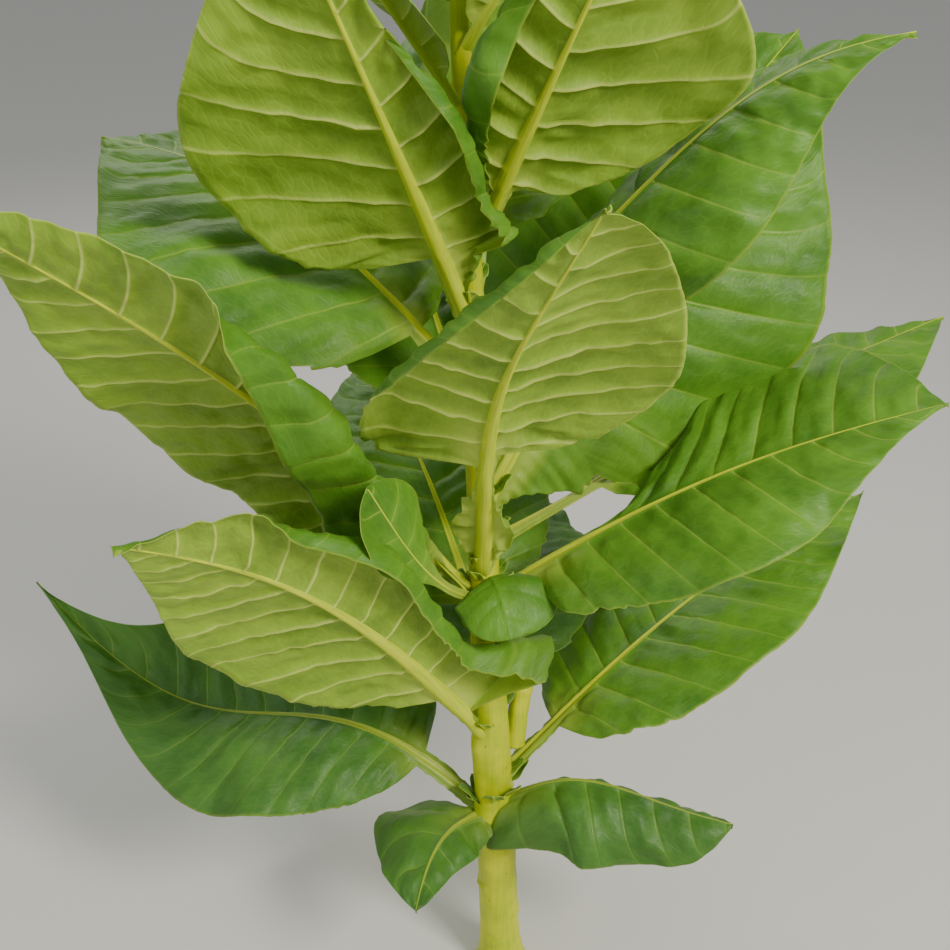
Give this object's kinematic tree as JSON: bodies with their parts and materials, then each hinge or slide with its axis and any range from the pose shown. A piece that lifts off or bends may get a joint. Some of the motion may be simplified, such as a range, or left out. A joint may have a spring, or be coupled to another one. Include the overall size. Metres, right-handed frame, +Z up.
{
  "type": "tobacco plant",
  "caption": "Tobacco plant rooted in the ground: one upright green stem with broad pointed leaves set round it in a spiral, and young leaves at the tip.",
  "frame": {"origin": "middle of the flat cut under the stem, at ground level", "axes": "+Z up the plant, +X to its right hand side and +Y to its back, as seen from the front"},
  "size_m": [0.8626, 0.6029, 1.1083],
  "materials": {
    "stem": "smooth yellow-green rind with short fine hairs, slightly shiny",
    "leaf": "fresh green blade, puckered between pale veins, satin above and dull pale green below",
    "young_leaf": "soft yellow-green young blade, downy and satin"
  },
  "bodies": {
    "root": {"stem": "stem", "leaf_01_front_left": "leaf", "leaf_02_low_right": "leaf", "leaf_03_low_left": "leaf", "leaf_04_low_right_back": "leaf", "leaf_05_low_back": "leaf", "leaf_06_left_front": "leaf", "leaf_07_back": "leaf", "leaf_08_right": "leaf", "leaf_09_left_front": "leaf", "leaf_10_front": "leaf", "leaf_11_right": "leaf", "leaf_12_right_back": "leaf", "leaf_13_back": "leaf", "leaf_14_left_back": "leaf", "leaf_15_right": "leaf", "leaf_16_front_left": "leaf", "leaf_17_back": "leaf", "leaf_18_front_right": "leaf", "leaf_19_young": "young_leaf", "leaf_20_young": "young_leaf", "leaf_21_young": "young_leaf", "leaf_22_young": "young_leaf", "leaf_23_young": "young_leaf", "leaf_24_young": "young_leaf", "leaf_25_young": "young_leaf", "leaf_26_young": "young_leaf", "leaf_27_young": "young_leaf", "terminal_bud": "young_leaf", "cut_side_shoot": "stem"}
  },
  "joints": []
}
